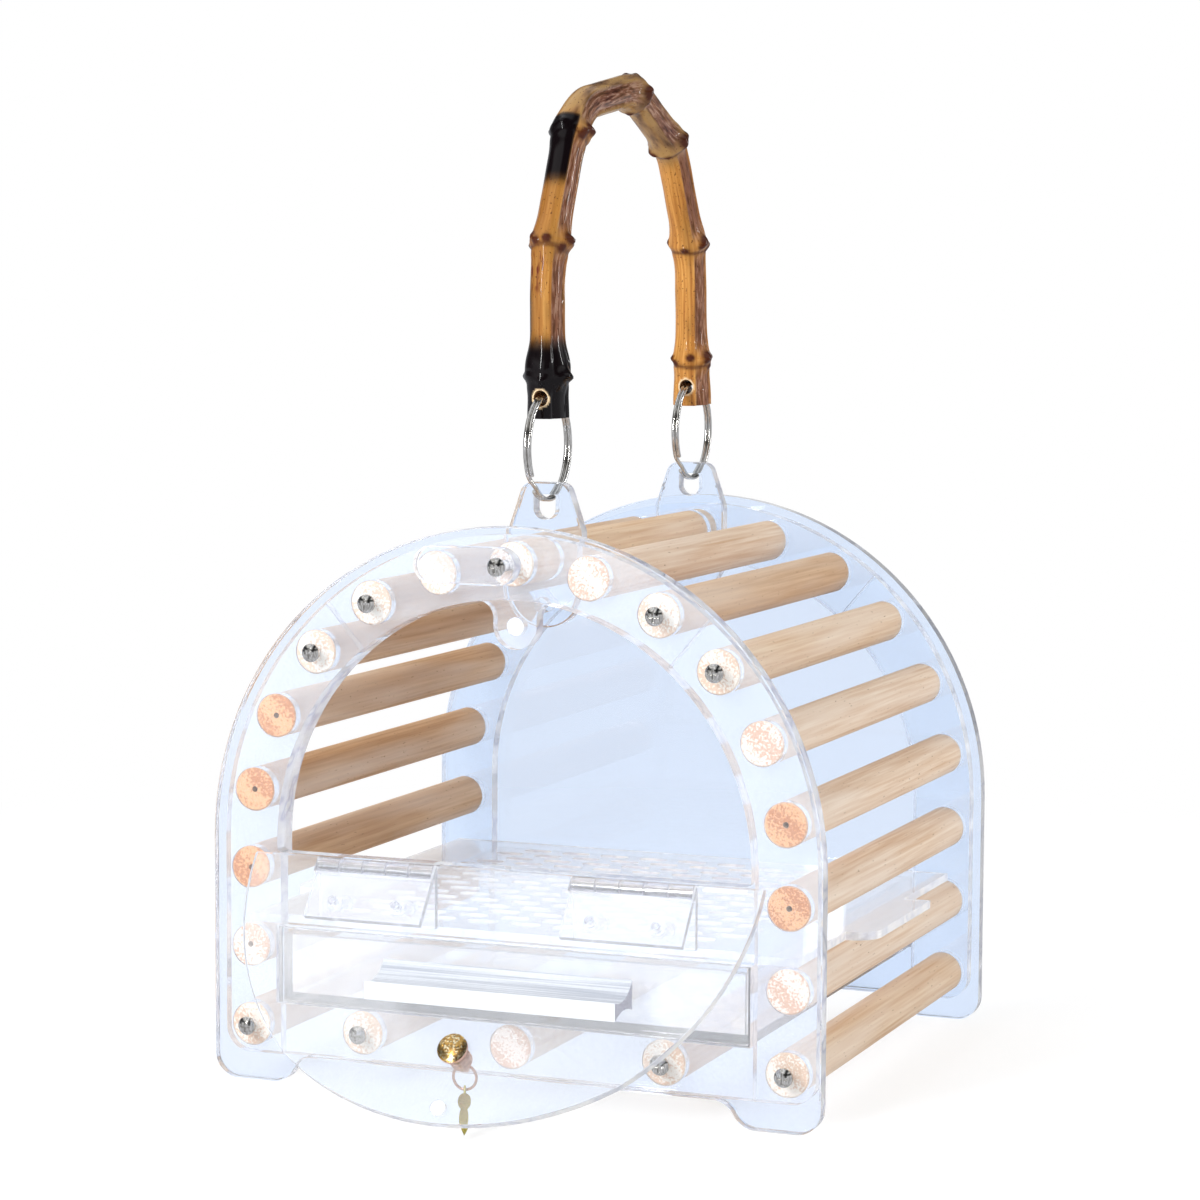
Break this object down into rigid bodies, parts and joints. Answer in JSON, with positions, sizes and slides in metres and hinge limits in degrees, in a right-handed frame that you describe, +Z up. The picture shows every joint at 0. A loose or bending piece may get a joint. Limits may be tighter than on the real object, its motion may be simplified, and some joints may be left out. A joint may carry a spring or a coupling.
{
  "type": "bird travel carrier",
  "caption": "Arched clear travel carrier for a pet bird, with wooden bars, a drop-down front door, a slide-out tray and a cane handle on rings.",
  "frame": {"origin": "on the ground, in the middle of the overall footprint with the door hanging open", "axes": "+Z up, +Y from the door end to the closed rear end, +X to the right seen from the front"},
  "size_m": [0.237, 0.275, 0.3752],
  "materials": {
    "clear_acrylic": "clear polished sheet",
    "frosted_acrylic": "frosted long face, sawn ends",
    "clear_hinge_plastic": "clear moulded",
    "pine": "bare sanded dowel",
    "bamboo": "glossy lacquer with scorched brown patches",
    "brass": "polished brass",
    "nickel_steel": "bright nickel plate"
  },
  "bodies": {
    "carrier": {"dowel_bottom_1": "pine", "dowel_bottom_2": "pine", "dowel_bottom_3": "pine", "dowel_left_1": "pine", "dowel_left_2": "pine", "dowel_left_3": "pine", "dowel_left_4": "pine", "dowel_left_5": "pine", "dowel_left_6": "pine", "dowel_left_7": "pine", "dowel_left_8": "pine", "dowel_right_1": "pine", "dowel_right_2": "pine", "dowel_right_3": "pine", "dowel_right_4": "pine", "dowel_right_5": "pine", "dowel_right_6": "pine", "dowel_right_7": "pine", "dowel_right_8": "pine", "dowel_top": "pine", "ear_bracket_front": "clear_acrylic", "ear_bracket_rear": "clear_acrylic", "floor_grate": "clear_acrylic", "frame_magnet": "nickel_steel", "front_plate": "clear_acrylic", "front_ring_bottom": "clear_acrylic", "front_ring_left": "clear_acrylic", "front_ring_right": "clear_acrylic", "front_ring_top": "clear_acrylic", "front_screws": "nickel_steel", "hinge_left_fixed": "clear_hinge_plastic", "hinge_pins": "nickel_steel", "hinge_right_fixed": "clear_hinge_plastic", "hinge_screws_frame": "clear_hinge_plastic", "latch_screw": "nickel_steel", "latch_spacer": "clear_acrylic", "rear_plate": "clear_acrylic", "rear_ring_bottom": "clear_acrylic", "rear_ring_left": "clear_acrylic", "rear_ring_right": "clear_acrylic", "rear_ring_top": "clear_acrylic", "rear_screws": "nickel_steel"},
    "door": {"door_panel": "clear_acrylic", "door_magnet": "nickel_steel", "hinge_left_moving": "clear_hinge_plastic", "hinge_right_moving": "clear_hinge_plastic", "hinge_screws_door": "clear_hinge_plastic", "knob_disc": "brass", "door_knob": "brass"},
    "drawer": {"drawer_tray": "clear_acrylic", "drawer_front": "clear_acrylic", "drawer_pull": "frosted_acrylic"},
    "latch": {"latch_bar": "clear_acrylic"},
    "front_split_ring": {"split_ring_front": "nickel_steel"},
    "rear_split_ring": {"split_ring_rear": "nickel_steel"},
    "handle": {"bamboo_handle": "bamboo"},
    "knob_ring": {"knob_ring": "brass"},
    "charm": {"charm": "brass"}
  },
  "joints": [
    {"name": "door_hinge", "type": "hinge", "parent": "carrier", "child": "door", "pos_m": [0, -0.07772, 0.08302], "axis": [-1, 0, 0], "range_deg": [0, 143]},
    {"name": "latch_turn", "type": "hinge", "parent": "carrier", "child": "latch", "pos_m": [0, -0.07832, 0.1954], "axis": [0, -1, 0], "continuous": true},
    {"name": "drawer_slide", "type": "slide", "parent": "carrier", "child": "drawer", "axis": [0, -1, 0], "range_m": [0, 0.016]},
    {"name": "front_ring_fold", "type": "hinge", "parent": "carrier", "child": "front_split_ring", "pos_m": [0, -0.03782, 0.21666], "axis": [0, 1, 0], "range_deg": [-85, 85]},
    {"name": "rear_ring_fold", "type": "hinge", "parent": "carrier", "child": "rear_split_ring", "pos_m": [0, 0.11318, 0.21666], "axis": [0, 1, 0], "range_deg": [-85, 85]},
    {"name": "handle_tilt", "type": "hinge", "parent": "front_split_ring", "child": "handle", "pos_m": [0, -0.03782, 0.25437], "axis": [0, 1, 0], "range_deg": [-35, 35]},
    {"name": "knob_ring_swing", "type": "hinge", "parent": "door", "child": "knob_ring", "pos_m": [0, -0.10998, 0.02218], "axis": [1, 0, 0], "range_deg": [-10, 150]},
    {"name": "charm_swing", "type": "hinge", "parent": "knob_ring", "child": "charm", "pos_m": [0, -0.10998, 0.01338], "axis": [0.9272, 0.3746, 0], "range_deg": [-10, 75]}
  ],
  "couplings": [
    {"joint": "rear_ring_fold", "follows": "front_ring_fold", "ratio": 1}
  ]
}
